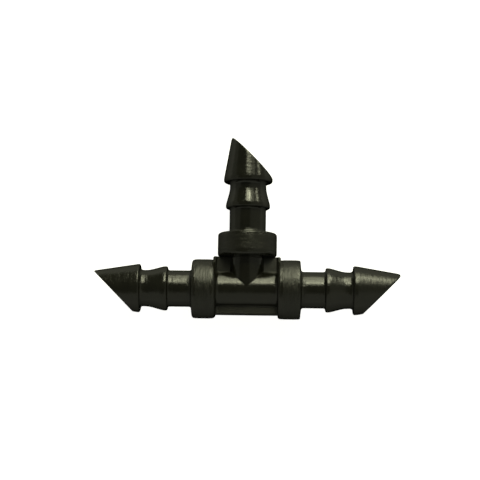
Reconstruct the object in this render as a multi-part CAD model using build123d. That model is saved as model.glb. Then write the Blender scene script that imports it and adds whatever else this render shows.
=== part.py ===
from build123d import *
import os
from math import cos, radians, sin, tan

# Barbed tee connector for 4 mm micro-irrigation tube.
# The tee lies flat. X runs along the two run arms, +Y points along the branch arm and +Z
# is square to the tee. The origin is the point where the axes of the three arms cross.
# All lengths are in millimetres, and stations are distances from the origin along an arm.

# Flow passage
bore_radius = 1.25

# Body between the collars
run_tube_radius = 1.99
branch_tube_radius = 1.98
web_thickness = 1.50
gusset_reach = 3.69
rib_depth = 2.80
web_corner_radius = 0.20
web_edge_radius = 0.08

# Stations of the two run arms, whose collars and barbs differ slightly, and of the branch arm,
# which is a little longer
run_collar_start = 3.38
right_collar_rim = 5.82
left_collar_rim = 5.95
right_inner_barb_back = 8.56
right_tip_barb_back = 11.57
left_inner_barb_back = 8.63
left_tip_barb_back = 11.63
run_end = 16.69
branch_collar_start = 3.52
branch_collar_rim = 6.09
branch_inner_barb_back = 8.88
branch_tip_barb_back = 11.78
branch_end = 16.74

# Collars: the shoulders that stop the pushed-on tube
collar_inner_radius = 3.24
collar_outer_radius = 3.21
collar_inner_edge_radius = 0.34
collar_outer_edge_radius = 0.20
collar_face_rise = 0.20
collar_root_fillet = 0.28
collar_neck_length = 0.40

# Shank and neck: the plain stretches before and after the inner barb, each flared at its end
shank_radius = 1.98
shank_flare = 0.22
neck_flare = 0.34

# Inner barb: a low cone whose square back faces the collar
inner_barb_crest_radius = 2.41
inner_barb_cone_length = 2.05
inner_barb_length = 2.47
inner_barb_blend_radius = 3.0

# Tip barb: a tall cone cut off by a plane at 45 degrees
tip_barb_crest_radius = 2.665
tip_cone_angle = 9.7
cut_angle = 45.0

# How far past its rounded point each arm's cone and cut would meet
right_point_overrun = 0.32
left_point_overrun = 0.15
branch_point_overrun = 0.12

# Crest of each barb: a short cylindrical land with a rounded back edge
crest_land = 0.45
crest_edge_radius = 0.18


def turned(outline, rounds=()):
    """Solid of revolution about X from a closed outline of (station, radius) points.

    rounds lists the outline's corners that are rounded, as (station, radius, fillet radius).
    """
    face = make_face(Polyline(*outline, close=True))
    for station, radius, fillet_radius in rounds:
        corner = face.vertices().sort_by_distance((station, radius, 0))[0]
        face = fillet(corner, fillet_radius)
    return revolve(face, axis=Axis.X, revolution_arc=360)


def long_cylinder(radius, start, end):
    """Cylinder along X from station start to station end."""
    return turned([(start, 0), (start, radius), (end, radius), (end, 0)])


def collar_end(rim):
    """Station where the collar's filleted root ends and the plain shank begins."""
    return rim + collar_face_rise + collar_neck_length


def collar(start, rim):
    """Stop shoulder with a slightly conical outer face that is filleted into the shank."""
    face_end = rim + collar_face_rise
    end = collar_end(rim)
    outline = [
        (start, bore_radius),
        (start, collar_inner_radius),
        (rim, collar_outer_radius),
        (face_end, shank_radius),
        (end, shank_radius),
        (end, bore_radius),
    ]
    rounds = [
        (start, collar_inner_radius, collar_inner_edge_radius),
        (rim, collar_outer_radius, collar_outer_edge_radius),
        (face_end, shank_radius, collar_root_fillet),
    ]
    return turned(outline, rounds)


def plain_stretch(start, end, flare_radius):
    """Plain tube whose outer end flares in a quarter round into the square back of the next barb."""
    flare_start = end - flare_radius
    flare_top = shank_radius + flare_radius
    straight = Polyline(
        (end, flare_top),
        (end, bore_radius),
        (start, bore_radius),
        (start, shank_radius),
        (flare_start, shank_radius),
    )
    flare = CenterArc((flare_start, flare_top), flare_radius, start_angle=-90, arc_size=90)
    return revolve(make_face(straight + flare), axis=Axis.X, revolution_arc=360)


def inner_barb(back):
    """Low barb whose cone runs out in a soft hollow curve."""
    crest = inner_barb_crest_radius
    cone_end = back + inner_barb_cone_length
    end = back + inner_barb_length
    outline = [
        (back, bore_radius),
        (back, crest),
        (back + crest_land, crest),
        (cone_end, shank_radius),
        (end, shank_radius),
        (end, bore_radius),
    ]
    rounds = [
        (back, crest, crest_edge_radius),
        (cone_end, shank_radius, inner_barb_blend_radius),
    ]
    return turned(outline, rounds)


def tip_barb(back, end, overrun):
    """Arrowhead barb. Its 45 degree cut leaves a rounded point on the +Y side, which reaches end."""
    crest = tip_barb_crest_radius
    cone_start = back + crest_land
    corner = end + overrun
    corner_radius = crest - (corner - cone_start) * tan(radians(tip_cone_angle))
    outline = [
        (back, bore_radius),
        (back, crest),
        (cone_start, crest),
        (corner, corner_radius),
        (corner, bore_radius),
    ]
    cone = turned(outline, [(back, crest, crest_edge_radius)])
    return cone & cut_block(back, corner, corner_radius, overrun)


def cut_block(back, corner, corner_radius, overrun):
    """What the 45 degree cut keeps of a tip barb: a prism along Z with one rounded edge at the point."""
    crest = tip_barb_crest_radius
    half_point_angle = radians(cut_angle + tip_cone_angle) / 2
    bisector_slope = radians(cut_angle - tip_cone_angle) / 2
    point_radius = overrun / (cos(bisector_slope) / sin(half_point_angle) - 1)
    cone_rise = (corner - back) * tan(radians(tip_cone_angle))
    run = (corner_radius + crest) / tan(radians(cut_angle))
    side = make_face(Polyline(
        (corner, corner_radius),
        (back, corner_radius + cone_rise),
        (back, -crest),
        (corner - run, -crest),
        close=True,
    ))
    point = side.vertices().sort_by_distance((corner, corner_radius, 0))[0]
    return extrude(fillet(point, point_radius), amount=crest, both=True)


def arm(collar_start, collar_rim, inner_barb_back, tip_barb_back, end, overrun):
    """The five parts of one arm, built along +X and named without their arm."""
    inner_barb_end = inner_barb_back + inner_barb_length
    return {
        "collar": collar(collar_start, collar_rim),
        "shank": plain_stretch(collar_end(collar_rim), inner_barb_back, shank_flare),
        "inner_barb": inner_barb(inner_barb_back),
        "neck": plain_stretch(inner_barb_end, tip_barb_back, neck_flare),
        "tip_barb": tip_barb(tip_barb_back, end, overrun),
    }


def right_arm():
    return arm(
        run_collar_start,
        right_collar_rim,
        right_inner_barb_back,
        right_tip_barb_back,
        run_end,
        right_point_overrun,
    )


def left_arm():
    return arm(
        run_collar_start,
        left_collar_rim,
        left_inner_barb_back,
        left_tip_barb_back,
        run_end,
        left_point_overrun,
    )


def branch_arm():
    return arm(
        branch_collar_start,
        branch_collar_rim,
        branch_inner_barb_back,
        branch_tip_barb_back,
        branch_end,
        branch_point_overrun,
    )


def to_right(solid):
    return solid


def to_left(solid):
    return mirror(solid, about=Plane.YZ)


def to_branch(solid):
    return Rot(0, 0, 90) * solid


def gusset():
    """Flat web in the corner between the branch tube and the right run collar."""
    half = web_thickness / 2
    plate = extrude(
        Pos(gusset_reach / 2, branch_collar_start / 2) * Rectangle(gusset_reach, branch_collar_start),
        amount=half,
        both=True,
    )
    outer_corner = plate.edges().filter_by(Axis.Z).sort_by_distance((gusset_reach, branch_collar_start, 0))[0]
    plate = fillet(outer_corner, web_corner_radius)
    run_tube_space = long_cylinder(run_tube_radius, -gusset_reach, 2 * gusset_reach)
    branch_tube_space = to_branch(long_cylinder(branch_tube_radius, -gusset_reach, 2 * gusset_reach))
    return plate - run_tube_space - branch_tube_space - collar(run_collar_start, right_collar_rim)


def rib():
    """Flat web under the run tube, from collar to collar, with rounded lower edges."""
    half = web_thickness / 2
    plate = extrude(
        Pos(0, -rib_depth / 2) * Rectangle(2 * run_collar_start, rib_depth),
        amount=half,
        both=True,
    )
    lower_edges = plate.edges().filter_by(Axis.X).filter_by(lambda edge: edge.center().Y < -rib_depth / 2)
    plate = fillet(lower_edges, web_edge_radius)
    return plate - long_cylinder(run_tube_radius, -gusset_reach, gusset_reach)


def run_tube():
    """Tube between the two run collars, open to the branch at its middle."""
    tube = long_cylinder(run_tube_radius, -run_collar_start, run_collar_start)
    run_bore = long_cylinder(bore_radius, -run_collar_start, run_collar_start)
    branch_bore = to_branch(long_cylinder(bore_radius, 0, branch_collar_start))
    return tube - run_bore - branch_bore


def branch_tube():
    """Tube from its saddle on the run tube up to the branch collar."""
    tube = to_branch(long_cylinder(branch_tube_radius, 0, branch_collar_start))
    branch_bore = to_branch(long_cylinder(bore_radius, 0, branch_collar_start))
    run_tube_space = long_cylinder(run_tube_radius, -run_collar_start, run_collar_start)
    return tube - branch_bore - run_tube_space


right_gusset = gusset()
nodes = {
    "run_tube": run_tube(),
    "branch_tube": branch_tube(),
    "right_gusset": right_gusset,
    "left_gusset": to_left(right_gusset),
    "run_rib": rib(),
}
for arm_name, pieces, place in (
    ("right", right_arm(), to_right),
    ("left", left_arm(), to_left),
    ("branch", branch_arm(), to_branch),
):
    for piece_name, solid in pieces.items():
        nodes[f"{arm_name}_{piece_name}"] = place(solid)

os.makedirs("parts", exist_ok=True)
for node_name, solid in nodes.items():
    solid.label = node_name
    export_step(solid, f"parts/{node_name}.step")
    print(f"{node_name:20s} {solid.volume:8.3f} mm3")
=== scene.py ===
import math

import bmesh
import bpy
from mathutils import Matrix, Vector, noise


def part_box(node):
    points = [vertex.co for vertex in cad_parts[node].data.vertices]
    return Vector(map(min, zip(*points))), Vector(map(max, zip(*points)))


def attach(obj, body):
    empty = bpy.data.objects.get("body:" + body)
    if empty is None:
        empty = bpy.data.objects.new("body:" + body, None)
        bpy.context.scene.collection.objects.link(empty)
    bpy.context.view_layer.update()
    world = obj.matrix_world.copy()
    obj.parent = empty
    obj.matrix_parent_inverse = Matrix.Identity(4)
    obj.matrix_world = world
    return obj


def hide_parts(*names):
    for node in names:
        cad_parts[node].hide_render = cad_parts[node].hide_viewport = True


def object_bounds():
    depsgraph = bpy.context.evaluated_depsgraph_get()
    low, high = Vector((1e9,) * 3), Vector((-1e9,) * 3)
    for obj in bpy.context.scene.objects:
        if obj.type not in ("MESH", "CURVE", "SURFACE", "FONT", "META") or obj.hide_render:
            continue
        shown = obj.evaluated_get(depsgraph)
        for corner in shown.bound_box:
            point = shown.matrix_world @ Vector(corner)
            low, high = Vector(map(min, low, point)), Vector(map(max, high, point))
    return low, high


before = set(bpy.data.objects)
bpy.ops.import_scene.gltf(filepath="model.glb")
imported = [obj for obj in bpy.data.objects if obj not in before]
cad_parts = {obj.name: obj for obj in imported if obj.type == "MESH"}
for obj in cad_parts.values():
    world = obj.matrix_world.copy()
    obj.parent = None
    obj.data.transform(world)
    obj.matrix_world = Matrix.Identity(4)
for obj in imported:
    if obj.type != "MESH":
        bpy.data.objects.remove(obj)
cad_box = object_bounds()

# Barbed tee connector. The tee lies flat: X runs along the two run arms, +Y points along the branch
# arm and +Z is square to the tee. The origin is where the axes of the arms cross. A station is a
# distance from the origin along an arm. Lengths are in millimetres, and MM turns them into metres.
MM = 0.001

# Radii of the passage and of the plain stretches, with the flares at their ends. The branch tube
# narrows by its taper towards the branch collar.
BORE = 1.25
RUN_TUBE = 1.99
RUN_TUBE_FLARE = 0.34
BRANCH_TUBE = 1.98
BRANCH_TAPER = 0.06
SHANK = 1.98
SHANK_FLARE = 0.22
NECK_FLARE = 0.34

# Stop collars: a slightly lower lip next to the inner edge, rounded where it steps up, a full stretch,
# and a crown that falls to the outer edge. Beyond its rim the CAD collar has a face and a neck.
COLLAR = 3.2325
COLLAR_INNER_EDGE = {"right": 0.28, "left": 0.40, "branch": 0.33}
COLLAR_OUTER_EDGE = {"right": 0.16, "left": 0.30, "branch": 0.20}
COLLAR_LIP_DEPTH = 0.024
COLLAR_LIP_WIDTH = 0.48
COLLAR_LIP_STEP = 0.18
COLLAR_LIP_FOOT = 0.4
COLLAR_LIP_BROW = 0.5
COLLAR_CROWN = 2.4
COLLAR_CROWN_ANGLE = {"right": 4.0, "left": 8.5, "branch": 6.0}
COLLAR_CROWN_START = 0.48
COLLAR_FACE_RISE = 0.13
COLLAR_ROOT = 0.24
CAD_FACE_RISE = 0.20
CAD_NECK = 0.40

# Inner barb
INNER_BARB_CREST = 2.41
INNER_BARB_CONE = 2.05
INNER_BARB_BLEND = 3.0
LAND_BLEND = 1.2

# Tip barb. Its land ends lower than it starts by the drop. Its cone and its 45 degree cut would meet
# at the overrun past the rounded point.
TIP_BARB_CREST = 2.665
TIP_CONE_ANGLE = 9.7
TIP_LAND_DROP = {"right": 0.02, "left": 0.062, "branch": 0.0}
TIP_LAND_BLEND = 0.8
POINT_OVERRUN = {"right": 0.32, "left": 0.15, "branch": 0.12}
CUT_BEVEL = 0.10
BORE_BEVEL = 0.08

# Crest of both barbs
CREST_LAND = 0.45
CREST_EDGE = 0.18

# Webs in the tee's plane. The draft is how much a corner web's face falls for each millimetre away
# from the branch tube and from the run tube. Each web starts inside its tube, out of sight.
WEB_HALF = 0.75
WEB_CORNER = 0.20
WEB_EDGE = 0.07
WEB_ROOT = 0.22
GUSSET_DRAFT = {"right": Vector((0.12, 0.11)), "left": Vector((0.02, 0.06))}
GUSSET_START = 1.1
GUSSET_SINK = 0.010
GUSSET_SINK_LENGTH = 1.3
RIB_START = -1.3
RIB_SAG = 0.007
RIB_HOLLOW = 0.09
RIB_ROOT = 0.10
RIB_SINK = 0.005
RIB_SINK_LENGTH = 1.6
RIB_SINK_SEED = 3

# Saddle where the branch tube stands on the run tube. The branch tube's foot is sunk into it.
SADDLE_FILLET = 0.07
SADDLE_SINK = 0.004
FOOT_SINK = 0.03

# Hole in the run tube, a trace narrower than the branch's bore
HOLE_SHARE = 0.996
HOLE_CLEARANCE = 0.5

# Moulding detail: the flash along the parting plane z = 0, and the slight waviness of the skin
# outside a margin round the bore
FLASH_HEIGHT = 0.018
FLASH_HALF_ANGLE = 2.0
FLASH_SHARPNESS = 1.5
WAVE_HEIGHT = 0.0035
WAVE_LENGTH = 0.9
BORE_MARGIN = 0.2

# Mesh density, and a hair that keeps a flare clear of the outline's next corner
TURN_STEPS = 96
LONGEST_STEP = 0.16
ARC_STEP = math.radians(14)
CONE_STEPS = 22
CUT_STEPS = 12
BORE_STEPS = 6
BRANCH_STEPS = 20
SADDLE_STEPS = 5
WEB_STEP = 0.08
WEB_EDGE_STEPS = 4
WEB_FACE_STEPS = 22
SHARP_ANGLE = math.radians(50)
HALVINGS = 40
HAIR = 0.001

# Plastic: its colour with the extremes of its blotches, its polish as a roughness, and the radii
# between which the collars' satin fades in
BASE = (0.0088, 0.0088, 0.0060)
BLOTCH_DARK = 0.82
BLOTCH_LIGHT = 1.15
PLASTIC_IOR = 1.5
POLISH = 0.16
SATIN_FROM = 3.2075
SATIN_FULL = 3.2275

# Waves per metre of the plastic's patterns, and the height of each kind of relief at strength 1
MARK_WAVES = 4200
SKIN_WAVES = 9000
SCRATCH_WAVES = 14000
BLOTCH_WAVES = 900
MARK_HEIGHT = 0.04
SKIN_HEIGHT = 0.012
SCRATCH_HEIGHT = 0.004

# Studio: the lights' colour and their distance from the tee in metres, and the brightness of the room
LIGHT_COLOUR = (1.0, 1.01, 0.70)
LIGHT_DISTANCE = 0.6
ROOM_COLOUR = (1.0, 1.02, 0.80, 1)
NEAR_WALL = 0.36
FAR_WALL = 0.22
DARKEST_WALL = 0.08
NEAR_TABLE = 0.31
FAR_TABLE = 0.56
HORIZON_BLUR = 0.08


# ---------------------------------------------------------------- outlines


def rounded(corners):
    """Closed outline of 2D points from (station, radius, fillet) corners."""
    points = []
    for i, (station, radius, fillet) in enumerate(corners):
        here = Vector((station, radius))
        if fillet == 0:
            points.append(here)
            continue
        before = (Vector(corners[i - 1][:2]) - here).normalized()
        after = (Vector(corners[(i + 1) % len(corners)][:2]) - here).normalized()
        half = before.angle(after) / 2
        centre = here + (before + after).normalized() * fillet / math.sin(half)
        spoke = here + before * fillet / math.tan(half) - centre
        turn = math.pi - 2 * half
        if before.x * after.y - before.y * after.x > 0:
            turn = -turn
        steps = max(2, math.ceil(abs(turn) / ARC_STEP))
        for k in range(steps + 1):
            a = turn * k / steps
            points.append(centre + Vector((
                spoke.x * math.cos(a) - spoke.y * math.sin(a),
                spoke.x * math.sin(a) + spoke.y * math.cos(a),
            )))
    return points


def subdivided(points):
    """The closed outline with its long stretches outside the bore divided."""
    result = []
    for i, here in enumerate(points):
        after = points[(i + 1) % len(points)]
        result.append(here)
        if min(here.y, after.y) <= BORE or here.x == after.x:
            continue
        steps = math.ceil((after - here).length / LONGEST_STEP)
        result += [here.lerp(after, k / steps) for k in range(1, steps)]
    return result


def shares(steps):
    """Even shares between 0 and 1, without both ends."""
    return [k / steps for k in range(1, steps)]


def bend(start, corner, end, at):
    """Points of the curve that cuts the corner between start and end, at the given shares."""
    return [start.lerp(corner, t).lerp(corner.lerp(end, t), t) for t in at]


def even_angles():
    """Evenly spaced angles round a tube."""
    return [math.radians(i * 360 / TURN_STEPS) for i in range(TURN_STEPS)]


def turn_angles():
    """Angles round an arm, closer together where the flash runs."""
    angles = even_angles()
    for seam in (0, 180):
        for share in (0.4, 1.0):
            angles.append(math.radians((seam + share * FLASH_HALF_ANGLE) % 360))
            angles.append(math.radians((seam - share * FLASH_HALF_ANGLE) % 360))
    return sorted(angles)


def flash(angle):
    """Height of the parting line's flash at an angle round an arm."""
    from_seam = abs((math.degrees(angle) + 90) % 180 - 90)
    return FLASH_HEIGHT * max(0.0, 1 - from_seam / FLASH_HALF_ANGLE) ** FLASH_SHARPNESS


def uneven(point, height, length):
    """Smooth unevenness of a surface at a point, from its greatest height and the length of its waves."""
    return height * noise.noise(point / length)


# ---------------------------------------------------------------- meshes


def to_right(p):
    """Where a point of an arm made along +X lies on the right arm."""
    return Vector((p.x, p.y, p.z))


def to_left(p):
    """Where a point of an arm made along +X lies on the left arm."""
    return Vector((-p.x, p.y, p.z))


def to_branch(p):
    """Where a point of an arm made along +X lies on the branch arm."""
    return Vector((-p.y, p.x, p.z))


PLACES = {"right": to_right, "left": to_left, "branch": to_branch}


def swollen(point, angle, place):
    """A point of an arm's skin in the tee's frame, moved out by the flash and the waviness.

    Nothing goes past the collars' own radius.
    """
    radius = math.hypot(point.y, point.z)
    if radius > BORE + BORE_MARGIN:
        wave = uneven(place(point), WAVE_HEIGHT, WAVE_LENGTH)
        grown = min(radius + flash(angle) + wave, COLLAR)
        point = Vector((point.x, point.y * grown / radius, point.z * grown / radius))
    return place(point)


def piece(name, rings, closed=True):
    """Mesh object from rings of points. Each ring joins the next.

    The last ring joins the first if the piece is closed. Otherwise a face closes each end.
    """
    bm = bmesh.new()
    grid = [[bm.verts.new(p * MM) for p in ring] for ring in rings]
    pairs = list(zip(grid, grid[1:]))
    if closed:
        pairs.append((grid[-1], grid[0]))
    else:
        bm.faces.new(grid[0])
        bm.faces.new(grid[-1])
    for ring, other in pairs:
        for i in range(len(ring)):
            j = (i + 1) % len(ring)
            bm.faces.new((ring[i], ring[j], other[j], other[i]))
    bmesh.ops.recalc_face_normals(bm, faces=bm.faces)
    mesh = bpy.data.meshes.new(name)
    bm.to_mesh(mesh)
    bm.free()
    mesh.shade_smooth()
    mesh.set_sharp_from_angle(angle=SHARP_ANGLE)
    obj = bpy.data.objects.new(name, mesh)
    bpy.context.scene.collection.objects.link(obj)
    return obj


def turned_ring(spot, angles):
    """Ring about X from a spot of an outline."""
    return [Vector((spot.x, spot.y * math.cos(a), spot.y * math.sin(a))) for a in angles]


def turned(name, corners, place):
    """Piece turned from a closed outline about its arm's axis."""
    angles = turn_angles()
    rings = []
    for spot in subdivided(rounded(corners)):
        rings.append([swollen(p, a, place) for p, a in zip(turned_ring(spot, angles), angles)])
    return piece(name, rings)


def span(node):
    """Nearest and farthest station of an arm's node."""
    low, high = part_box(node)
    ends = (low.y, high.y) if node.startswith("branch") else (low.x, high.x)
    return sorted(abs(end) / MM for end in ends)


# ---------------------------------------------------------------- arms


def collar(arm):
    """Stop collar: a lipped inner edge, a crowned rim and a slightly conical outer face."""
    start, end = span(f"{arm}_collar")
    rim = end - CAD_NECK - CAD_FACE_RISE
    crown_drop = math.tan(math.radians(COLLAR_CROWN_ANGLE[arm]))
    lip = COLLAR - COLLAR_LIP_DEPTH
    lip_end = start + COLLAR_LIP_WIDTH
    corners = [
        (start, BORE, 0),
        (start, lip, COLLAR_INNER_EDGE[arm]),
        (lip_end, lip, COLLAR_LIP_FOOT),
        (lip_end + COLLAR_LIP_STEP, COLLAR, COLLAR_LIP_BROW),
        (rim - COLLAR_CROWN_START, COLLAR, COLLAR_CROWN),
        (rim, COLLAR - COLLAR_CROWN_START * crown_drop, COLLAR_OUTER_EDGE[arm]),
        (rim + COLLAR_FACE_RISE, SHANK, COLLAR_ROOT),
        (end, SHANK, 0),
        (end, BORE, 0),
    ]
    return turned(f"{arm}_stop_collar", corners, PLACES[arm])


def plain_stretch(arm, node, name, flare):
    """Plain tube with a quarter round that flares into the next barb's back."""
    start, end = span(f"{arm}_{node}")
    corners = [
        (start, BORE, 0),
        (start, SHANK, 0),
        (end, SHANK, flare - HAIR),
        (end, SHANK + flare, 0),
        (end, BORE, 0),
    ]
    return turned(f"{arm}_{name}", corners, PLACES[arm])


def inner_barb(arm):
    """Low barb: a narrow land, then a cone that runs out in a soft hollow curve."""
    back, end = span(f"{arm}_inner_barb")
    corners = [
        (back, BORE, 0),
        (back, INNER_BARB_CREST, CREST_EDGE),
        (back + CREST_LAND, INNER_BARB_CREST, LAND_BLEND),
        (back + INNER_BARB_CONE, SHANK, INNER_BARB_BLEND),
        (end, SHANK, 0),
        (end, BORE, 0),
    ]
    return turned(f"{arm}_low_barb", corners, PLACES[arm])


def cut_stations(corner, corner_radius, overrun):
    """Function that gives the 45 degree cut's station at a height, with the arm's point rounded."""
    half_point = math.radians(45 + TIP_CONE_ANGLE) / 2
    lean = math.radians(45 - TIP_CONE_ANGLE) / 2
    radius = overrun / (math.cos(lean) / math.sin(half_point) - 1)
    reach = radius / math.sin(half_point)
    centre = Vector((corner - reach * math.cos(lean), corner_radius - reach * math.sin(lean)))
    cone = math.radians(TIP_CONE_ANGLE)
    top = centre + radius * Vector((math.sin(cone), math.cos(cone)))
    foot = centre + radius * Vector((math.sin(math.pi / 4), -math.sin(math.pi / 4)))

    def station(height):
        if height >= top.y:
            return top.x
        if height >= foot.y:
            return centre.x + math.sqrt(max(radius ** 2 - (height - centre.y) ** 2, 0))
        return corner + height - corner_radius

    return station


def last_before(low, high, inside):
    """Station between low and high up to which inside holds, found by halving."""
    for _ in range(HALVINGS):
        middle = (low + high) / 2
        if inside(middle):
            low = middle
        else:
            high = middle
    return low


def tip_barb(arm):
    """Arrowhead: a land and a cone, cut at 45 degrees to a rounded point, with the bore's open mouth."""
    back, end = span(f"{arm}_tip_barb")
    corner = end + POINT_OVERRUN[arm]
    cone_start = back + CREST_LAND
    cone_top = TIP_BARB_CREST - TIP_LAND_DROP[arm]
    corner_radius = TIP_BARB_CREST - (corner - cone_start) * math.tan(math.radians(TIP_CONE_ANGLE))
    slope = (cone_top - corner_radius) / (corner - cone_start)
    cut_station = cut_stations(corner, corner_radius, POINT_OVERRUN[arm])
    land = rounded([
        (back, BORE, 0),
        (back, TIP_BARB_CREST, CREST_EDGE),
        (cone_start, cone_top, TIP_LAND_BLEND),
        (corner, corner_radius, 0),
    ])[:-1]

    def cone_radius(station):
        return cone_top - (station - cone_start) * slope

    def cut_point(height, depth):
        return Vector((cut_station(height), height, depth))

    def skin(a):
        """The points over the land and the cone to the cut's bevel, and the sharp edge it replaces."""
        across = Vector((0, math.cos(a), math.sin(a)))
        points = [Vector((p.x, 0, 0)) + across * p.y for p in land]
        edge = last_before(cone_start, corner, lambda s: s < cut_station(cone_radius(s) * across.y))
        first = points[-1].x
        bevel_start = edge - CUT_BEVEL
        for k in range(1, CONE_STEPS + 1):
            station = first + (bevel_start - first) * k / CONE_STEPS
            points.append(Vector((station, 0, 0)) + across * cone_radius(station))
        return points, Vector((edge, 0, 0)) + across * cone_radius(edge)

    def column(a):
        """The points from the back's bore edge over the skin and the cut and back down the bore."""
        points, sharp = skin(a)
        mouth = Vector((0, BORE * math.cos(a), BORE * math.sin(a)))
        width = math.hypot(sharp.y - mouth.y, sharp.z - mouth.z)
        first = CUT_BEVEL / width
        last = 1 - BORE_BEVEL / width

        def on_cut(share):
            return cut_point(
                sharp.y + (mouth.y - sharp.y) * share,
                sharp.z + (mouth.z - sharp.z) * share,
            )

        points += bend(points[-1], sharp, on_cut(first), shares(4))
        points += [on_cut(first + (last - first) * k / CUT_STEPS) for k in range(CUT_STEPS + 1)]
        lip = cut_point(mouth.y, mouth.z)
        inside = lip - Vector((BORE_BEVEL, 0, 0))
        points += bend(points[-1], lip, inside, shares(3))
        points.append(inside)
        points += [inside.lerp(Vector((back, 0, 0)) + mouth, share) for share in shares(BORE_STEPS)]
        return points

    angles = turn_angles()
    columns = [column(a) for a in angles]
    rings = []
    for k in range(len(columns[0])):
        rings.append([swollen(c[k], a, PLACES[arm]) for c, a in zip(columns, angles)])
    return piece(f"{arm}_arrow_barb", rings)


# ---------------------------------------------------------------- body


def drilled(obj, drill):
    """The piece with the drill's shape cut out of it. The drill is used up."""
    hole = obj.modifiers.new("hole", "BOOLEAN")
    hole.operation = "DIFFERENCE"
    hole.solver = "EXACT"
    hole.object = drill
    bpy.context.view_layer.update()
    graph = bpy.context.evaluated_depsgraph_get()
    mesh = bpy.data.meshes.new_from_object(obj.evaluated_get(graph))
    obj.modifiers.clear()
    obj.data = mesh
    bpy.data.objects.remove(drill)
    return obj


def run_tube():
    """Tube between the run collars, with the hole where the branch opens into it."""
    low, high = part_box("run_tube")
    start, end = low.x / MM, high.x / MM
    flared = RUN_TUBE + RUN_TUBE_FLARE
    corners = [
        (start, BORE, 0),
        (start, flared, 0),
        (start, RUN_TUBE, RUN_TUBE_FLARE - HAIR),
        (end, RUN_TUBE, RUN_TUBE_FLARE - HAIR),
        (end, flared, 0),
        (end, BORE, 0),
    ]
    angles = even_angles()
    rings = []
    for spot in subdivided(rounded(corners)):
        ring = turned_ring(spot, angles)
        rings.append([p * (1 + uneven(p, WAVE_HEIGHT, WAVE_LENGTH) / RUN_TUBE) for p in ring])
    tube = piece("run_pipe", rings)
    radius = HOLE_SHARE * BORE
    drill_rings = []
    for height in (0, RUN_TUBE + HOLE_CLEARANCE):
        drill_rings.append([Vector((radius * math.cos(a), height, radius * math.sin(a))) for a in angles])
    return drilled(tube, piece("branch_drill", drill_rings, closed=False))


def branch_tube():
    """Tube from its saddle on the run tube up to the branch collar, with a small fillet at the saddle."""
    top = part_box("branch_tube")[1].y / MM

    def on_run(x, z, radius=RUN_TUBE):
        return Vector((x, math.sqrt(max(radius ** 2 - z ** 2, 0)), z))

    def column(a):
        """The points from the bore's top over the rim, down the skin and under the run tube's skin."""
        across = Vector((math.sin(a), 0, math.cos(a)))
        joint = on_run(BRANCH_TUBE * across.x, BRANCH_TUBE * across.z)
        run_normal = Vector((0, joint.y, joint.z)).normalized()
        along = across.cross(run_normal).normalized()
        reach = SADDLE_FILLET * math.tan(across.angle(run_normal) / 2)
        high = joint + along.cross(across) * reach
        high = Vector((0, high.y, 0)) + Vector((high.x, 0, high.z)).normalized() * BRANCH_TUBE
        low = joint + run_normal.cross(along) * reach
        low = Vector((low.x, 0, 0)) + Vector((0, low.y, low.z)).normalized() * (RUN_TUBE - SADDLE_SINK)
        rim = across * (BRANCH_TUBE - BRANCH_TAPER) + Vector((0, top, 0))
        points = [Vector((BORE * across.x, top, BORE * across.z))]
        points += [rim.lerp(high, k / BRANCH_STEPS) for k in range(BRANCH_STEPS)]
        points += bend(high, joint, low, [0, *shares(SADDLE_STEPS), 1])
        for share in (0, 0.5, 1):
            radius = BRANCH_TUBE + (BORE - BRANCH_TUBE) * share
            points.append(on_run(radius * across.x, radius * across.z, RUN_TUBE - FOOT_SINK))
        return points

    columns = [column(a) for a in even_angles()]
    rings = [[c[k] for c in columns] for k in range(len(columns[0]))]
    return piece("branch_pipe", rings)


def plate(name, outline, height):
    """Flat web from a closed 2D outline, with rounded edges. height gives its half thickness at a spot."""
    count = len(outline)
    middle = sum(outline, Vector((0, 0))) / count
    inward = []
    for i, here in enumerate(outline):
        along = (outline[(i + 1) % count] - outline[i - 1]).normalized()
        side = Vector((-along.y, along.x))
        inward.append(side if side.dot(middle - here) > 0 else -side)

    def ring(inset, share, drop, side):
        points = []
        for here, normal in zip(outline, inward):
            spot = (here + normal * inset).lerp(middle, share)
            points.append(Vector((spot.x, spot.y, side * (height(spot) - drop))))
        return points

    def half(side):
        rings = []
        for k in range(WEB_EDGE_STEPS + 1):
            a = math.radians(90 * k / WEB_EDGE_STEPS)
            rings.append(ring(WEB_EDGE * (1 - math.cos(a)), 0, WEB_EDGE * (1 - math.sin(a)), side))
        for share in shares(WEB_FACE_STEPS):
            rings.append(ring(WEB_EDGE, share, 0, side))
        return rings

    return piece(name, list(reversed(half(-1))) + half(1), closed=False)


def box_outline(x0, x1, y0, y1, corner):
    """Rectangle's outline with one rounded corner, at x1, y1."""
    points = rounded([(x0, y0, 0), (x1, y0, 0), (x1, y1, corner), (x0, y1, 0)])
    result = []
    for i, here in enumerate(points):
        after = points[(i + 1) % len(points)]
        steps = max(1, math.ceil((after - here).length / WEB_STEP))
        result += [here.lerp(after, k / steps) for k in range(steps)]
    return result


def cove(distance, radius):
    """Height of a hollow quarter round at a distance from the wall that it runs up to."""
    if distance >= radius:
        return 0.0
    return radius - math.sqrt(radius ** 2 - (radius - max(distance, 0)) ** 2)


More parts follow.
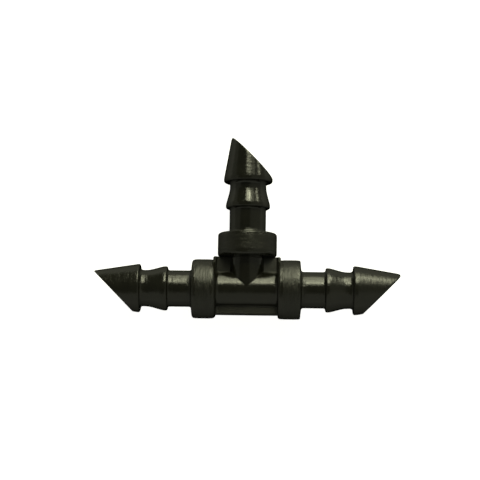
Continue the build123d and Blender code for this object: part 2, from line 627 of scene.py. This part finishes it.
def gusset(arm):
    """Web in the corner between the branch tube and a run collar. It thins towards its outer corner."""
    low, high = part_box(f"{arm}_gusset")
    side = 1 if arm == "right" else -1
    reach = max(abs(low.x), abs(high.x)) / MM
    collar_face = span(f"{arm}_collar")[0]
    outline = box_outline(GUSSET_START, reach, GUSSET_START, high.y / MM, WEB_CORNER)
    outline = [Vector((side * p.x, p.y)) for p in outline]

    def height(spot):
        x, y = abs(spot.x), spot.y
        draft = GUSSET_DRAFT[arm].dot(Vector((x - BRANCH_TUBE, y - RUN_TUBE)))
        sink = uneven(Vector((spot.x, spot.y, side)), GUSSET_SINK, GUSSET_SINK_LENGTH)
        return WEB_HALF - draft - sink + cove(collar_face - x, WEB_ROOT)

    return plate(f"{arm}_web", outline, height)


def rib():
    """Web along the back of the run tube, from collar to collar. It thins towards its ends and the tube."""
    low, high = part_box("run_rib")
    outer = low.y / MM
    collar_face = high.x / MM
    tube_wall = math.sqrt(RUN_TUBE ** 2 - WEB_HALF ** 2)
    outline = box_outline(low.x / MM, collar_face, RIB_START, outer, 0)

    def height(spot):
        sink = uneven(Vector((spot.x, spot.y, RIB_SINK_SEED)), RIB_SINK, RIB_SINK_LENGTH)
        sink += RIB_SAG * spot.x ** 2
        sink += RIB_HOLLOW * (spot.y - outer)
        root = cove(collar_face - abs(spot.x), WEB_ROOT) + cove(-spot.y - tube_wall, RIB_ROOT)
        return WEB_HALF - sink + root

    return plate("run_spine", outline, height)


# ---------------------------------------------------------------- materials


def shader_node(tree, kind, output, inputs, **settings):
    """Adds a node and gives one of its outputs. Each input is a value or another node's output."""
    node = tree.nodes.new(kind)
    for name, value in settings.items():
        setattr(node, name, value)
    for key, value in inputs.items():
        if isinstance(value, bpy.types.NodeSocket):
            tree.links.new(value, node.inputs[key])
        else:
            node.inputs[key].default_value = value
    return node.outputs[output]


def ranged(tree, value, low, high, to_low, to_high, shape="LINEAR"):
    """The value between low and high carried over to between to_low and to_high, and held outside."""
    limits = {"From Min": low, "From Max": high, "To Min": to_low, "To Max": to_high}
    inputs = {"Value": value, **limits}
    return shader_node(tree, "ShaderNodeMapRange", "Result", inputs, interpolation_type=shape)


def combined(tree, operation, one, other):
    """Result of a sum on two outputs, or on an output and a number."""
    return shader_node(tree, "ShaderNodeMath", "Value", {0: one, 1: other}, operation=operation)


def scales(along, lengthwise, crosswise):
    """Scale for each axis, for an arm that runs along x or y."""
    if along == "x":
        return (lengthwise, crosswise, crosswise)
    return (crosswise, lengthwise, crosswise)


def mottled_colour(tree, blotches):
    """The plastic's colour, a little darker and lighter in blotches."""
    colour = tree.nodes.new("ShaderNodeValToRGB")
    dark, light = colour.color_ramp.elements
    dark.position, light.position = 0.35, 0.7
    dark.color = (*[c * BLOTCH_DARK for c in BASE], 1)
    light.color = (*[c * BLOTCH_LIGHT for c in BASE], 1)
    tree.links.new(blotches, colour.inputs["Fac"])
    return colour.outputs["Color"]


def plastic(name, along, roughness, spread, marks, skin, scratches, satin_band=False):
    """Moulded olive-black plastic with tool marks that run round an arm.

    along is the axis of the arm, and marks, skin and scratches are the strengths of the tool marks,
    the fine skin texture and the scratches. With satin_band only the skin farthest from the arm's
    axis keeps that roughness, and the rest is polished.
    """
    material = bpy.data.materials.new(name)
    material.use_nodes = True
    tree = material.node_tree
    shader = tree.nodes["Principled BSDF"]
    shader.inputs["IOR"].default_value = PLASTIC_IOR
    place = shader_node(tree, "ShaderNodeTexCoord", "Object", {})

    def mapped(scale):
        return shader_node(tree, "ShaderNodeMapping", "Vector", {"Vector": place, "Scale": scale})

    def noise_at(scale, per_metre, detail):
        inputs = {"Vector": mapped(scale), "Scale": per_metre, "Detail": detail, "Roughness": 0.5}
        return shader_node(tree, "ShaderNodeTexNoise", "Fac", inputs)

    def bumped(height, relief, normal=None):
        inputs = {"Height": height, "Distance": relief * MM, "Strength": 1}
        if normal:
            inputs["Normal"] = normal
        return shader_node(tree, "ShaderNodeBump", "Normal", inputs)

    turned_marks = noise_at(scales(along, 1, 0.3), MARK_WAVES, 3)
    fine_skin = noise_at((1, 1, 1), SKIN_WAVES, 2)
    streaks = noise_at(scales(along, 0.08, 1), SCRATCH_WAVES, 1)
    long_scratch = ranged(tree, streaks, 0.62, 0.68, 0, 1)
    colour = mottled_colour(tree, noise_at((1, 1, 1), BLOTCH_WAVES, 4))
    tree.links.new(colour, shader.inputs["Base Color"])

    rough = ranged(tree, turned_marks, 0.3, 0.7, roughness - spread, roughness + spread)
    if satin_band:
        from_axis = mapped(scales(along, 0, 1))
        radius = shader_node(tree, "ShaderNodeVectorMath", "Value", {0: from_axis}, operation="LENGTH")
        share = ranged(tree, radius, SATIN_FROM * MM, SATIN_FULL * MM, POLISH / roughness, 1)
        rough = combined(tree, "MULTIPLY", rough, share)
    tree.links.new(rough, shader.inputs["Roughness"])

    normal = bumped(turned_marks, MARK_HEIGHT * marks)
    normal = bumped(fine_skin, SKIN_HEIGHT * skin, normal)
    normal = bumped(long_scratch, SCRATCH_HEIGHT * scratches, normal)
    tree.links.new(normal, shader.inputs["Normal"])
    return material


def polished_plastic():
    """Polish of the tubes, shanks, necks and inner barbs, glossier on the branch."""
    return {
        "x": plastic("polished_plastic_x", "x", POLISH, 0.05, marks=0.6, skin=0.8, scratches=0.4),
        "y": plastic("polished_plastic_y", "y", 0.11, 0.04, marks=0.4, skin=0.4, scratches=0.4),
    }


def grained_plastic():
    """Grain of the tip barbs, stronger on the run."""
    return {
        "x": plastic("grained_plastic_x", "x", 0.19, 0.06, marks=0.75, skin=0.8, scratches=0.3),
        "y": plastic("grained_plastic_y", "y", 0.13, 0.04, marks=0.4, skin=0.4, scratches=0.3),
    }


def satin_plastic():
    """Satin of the collars' rims, with tool marks that are stronger on the run."""
    return {
        "x": plastic(
            "satin_plastic_x", "x", 0.36, 0.08, marks=2.1, skin=2.2, scratches=0.4, satin_band=True),
        "y": plastic(
            "satin_plastic_y", "y", 0.36, 0.08, marks=1.1, skin=1.2, scratches=0.4, satin_band=True),
    }


def web_plastic():
    """Dull, smooth skin of the webs."""
    return {"x": plastic("web_plastic", "x", 0.33, 0.03, marks=0.08, skin=0.1, scratches=0.05)}


# ---------------------------------------------------------------- scene


def finish_piece(obj, cad_node, material):
    """Gives a piece its material, hangs it under the root body and hides the CAD node that it stands for."""
    obj.data.materials.clear()
    obj.data.materials.append(material)
    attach(obj, "root")
    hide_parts(cad_node)


def build():
    """All twenty pieces, each in place of its CAD node."""
    polished, grained, satin, web = polished_plastic(), grained_plastic(), satin_plastic(), web_plastic()
    finish_piece(run_tube(), "run_tube", polished["x"])
    finish_piece(branch_tube(), "branch_tube", polished["y"])
    finish_piece(rib(), "run_rib", web["x"])
    for arm in ("right", "left"):
        finish_piece(gusset(arm), f"{arm}_gusset", web["x"])
    for arm in PLACES:
        along = "y" if arm == "branch" else "x"
        finish_piece(collar(arm), f"{arm}_collar", satin[along])
        shank = plain_stretch(arm, "shank", "shank_pipe", SHANK_FLARE)
        finish_piece(shank, f"{arm}_shank", polished[along])
        finish_piece(inner_barb(arm), f"{arm}_inner_barb", polished[along])
        neck = plain_stretch(arm, "neck", "neck_pipe", NECK_FLARE)
        finish_piece(neck, f"{arm}_neck", polished[along])
        finish_piece(tip_barb(arm), f"{arm}_tip_barb", grained[along])


def direction(x_lean, y_lean):
    """Unit vector that leans from straight up by these degrees towards +X and +Y together."""
    lean = math.radians(math.hypot(x_lean, y_lean))
    turn = math.atan2(y_lean, x_lean)
    return Vector((math.cos(turn) * math.sin(lean), math.sin(turn) * math.sin(lean), math.cos(lean)))


def place_facing(obj, position, across, up, facing):
    """Puts an object in the scene, with its own X, Y and Z along three square directions."""
    bpy.context.scene.collection.objects.link(obj)
    turn = Matrix((across, up, facing)).transposed().to_4x4()
    obj.matrix_world = Matrix.Translation(position) @ turn


def camera():
    """Almost straight above the tee, a little towards -Y, with the tee slightly turned in the frame."""
    tilt, yaw, roll = math.radians(6.0), math.radians(1.0), math.radians(0.85)
    distance = 163.8
    aim = Vector((-0.82, 5.43, 0)) * MM
    place = Vector((math.sin(yaw) * math.cos(tilt), -math.sin(tilt), math.cos(yaw) * math.cos(tilt)))
    place *= distance * MM
    forward = (aim - place).normalized()
    level = forward.cross(Vector((0, 1, 0))).normalized()
    upward = level.cross(forward)
    right = level * math.cos(roll) + upward * math.sin(roll)
    up = upward * math.cos(roll) - level * math.sin(roll)
    obj = bpy.data.objects.new("camera", bpy.data.cameras.new("camera"))
    place_facing(obj, place, right, up, -forward)
    obj.data.sensor_width = 36
    obj.data.lens = 112.5
    obj.data.clip_start = 0.005
    obj.data.clip_end = 10
    bpy.context.scene.camera = obj


def softbox(name, x_from, x_to, y_from, y_to, radiance):
    """Rectangular light that covers these leans, in degrees, seen from the tee."""
    facing = direction((x_from + x_to) / 2, (y_from + y_to) / 2)
    light = bpy.data.lights.new(name, "AREA")
    light.shape = "RECTANGLE"
    light.size = 2 * LIGHT_DISTANCE * math.tan(math.radians(x_to - x_from) / 2)
    light.size_y = 2 * LIGHT_DISTANCE * math.tan(math.radians(y_to - y_from) / 2)
    light.energy = radiance * math.pi * light.size * light.size_y
    light.color = LIGHT_COLOUR
    x_axis = Vector((1, 0, 0))
    across = (x_axis - facing * x_axis.dot(facing)).normalized()
    obj = bpy.data.objects.new(name, light)
    place_facing(obj, facing * LIGHT_DISTANCE, across, facing.cross(across), facing)


def studio():
    """A broad window beyond the branch, with a brighter bar and spots in it, and two lights to its right."""
    softbox("window_left", -8.5, 0.6, 31.6, 62, 6.0)
    softbox("window_bar", -1.6, 0.3, 31.6, 62, 8.0)
    softbox("window_right", 0.6, 20, 33.5, 62, 2.6)
    softbox("window_foot", -8.5, 20, 62, 85, 3.3)
    softbox("window_head", 3.5, 11, 26.0, 33.5, 2.7)
    softbox("upper_lamp", 4.5, 12, 37, 45, 16.5)
    softbox("lower_lamp", 13, 26, 49, 68, 6.5)
    softbox("side_window", 25, 34, 29, 72, 1.3)
    softbox("side_lamp", 45, 56, 34, 45, 5.0)


def room():
    """Light from all round: a table below the horizon, and walls and a ceiling above it.

    The table is brightest at the horizon, more so on the branch's side. The walls are brighter on the
    near side, and two dark patches lie overhead and left of the window.
    """
    world = bpy.data.worlds.new("room")
    bpy.context.scene.world = world
    world.use_nodes = True
    tree = world.node_tree
    place = shader_node(tree, "ShaderNodeTexCoord", "Generated", {})

    def along(axis):
        inputs = {0: place, 1: axis}
        return shader_node(tree, "ShaderNodeVectorMath", "Value", inputs, operation="DOT_PRODUCT")

    def eased(value, low, high, to_low, to_high):
        return ranged(tree, value, low, high, to_low, to_high, "SMOOTHSTEP")

    def outside(centre, inner, outer):
        """0 within the inner angle from a direction and 1 beyond the outer one."""
        return eased(along(centre), math.cos(math.radians(outer)), math.cos(math.radians(inner)), 1, 0)

    beyond, height = along((0, 1, 0)), along((0, 0, 1))
    table_side = eased(beyond, -0.1, 0.95, NEAR_TABLE, FAR_TABLE)
    table = combined(tree, "MULTIPLY", table_side, ranged(tree, height, -0.92, 0, 0, 1))
    overhead = outside(direction(-16, 0), 24, 38)
    left_of_window = outside(direction(-29, 47), 20, 31)
    clear = combined(tree, "MULTIPLY", overhead, left_of_window)
    walls = combined(tree, "MULTIPLY", eased(beyond, -0.5, 0.1, NEAR_WALL, FAR_WALL), clear)
    walls = combined(tree, "MAXIMUM", walls, DARKEST_WALL)
    above = combined(tree, "MULTIPLY", walls, eased(height, -HORIZON_BLUR, HORIZON_BLUR, 0, 1))
    below = combined(tree, "MULTIPLY", table, eased(height, -HORIZON_BLUR, HORIZON_BLUR, 1, 0))
    background = tree.nodes["Background"]
    background.inputs["Color"].default_value = ROOM_COLOUR
    tree.links.new(combined(tree, "ADD", above, below), background.inputs["Strength"])


def floor():
    """Pale floor that the collars rest on. It glows faintly, so that the fitting's shadow stays light."""
    half = 3.0
    height = cad_box[0].z
    mesh = bpy.data.meshes.new("floor")
    mesh.from_pydata(
        [(-half, -half, height), (half, -half, height), (half, half, height), (-half, half, height)],
        [],
        [(0, 1, 2, 3)],
    )
    obj = bpy.data.objects.new("floor", mesh)
    bpy.context.scene.collection.objects.link(obj)
    obj.visible_glossy = False
    obj.visible_diffuse = False
    material = bpy.data.materials.new("pale_floor")
    material.use_nodes = True
    shader = material.node_tree.nodes["Principled BSDF"]
    shader.inputs["Base Color"].default_value = (0.75, 0.75, 0.75, 1)
    shader.inputs["Roughness"].default_value = 0.9
    shader.inputs["Specular IOR Level"].default_value = 0
    shader.inputs["Emission Color"].default_value = (1, 1, 1, 1)
    shader.inputs["Emission Strength"].default_value = 0.9
    mesh.materials.append(material)


bpy.context.scene.view_settings.view_transform = "Standard"
camera()
studio()
room()
floor()
build()
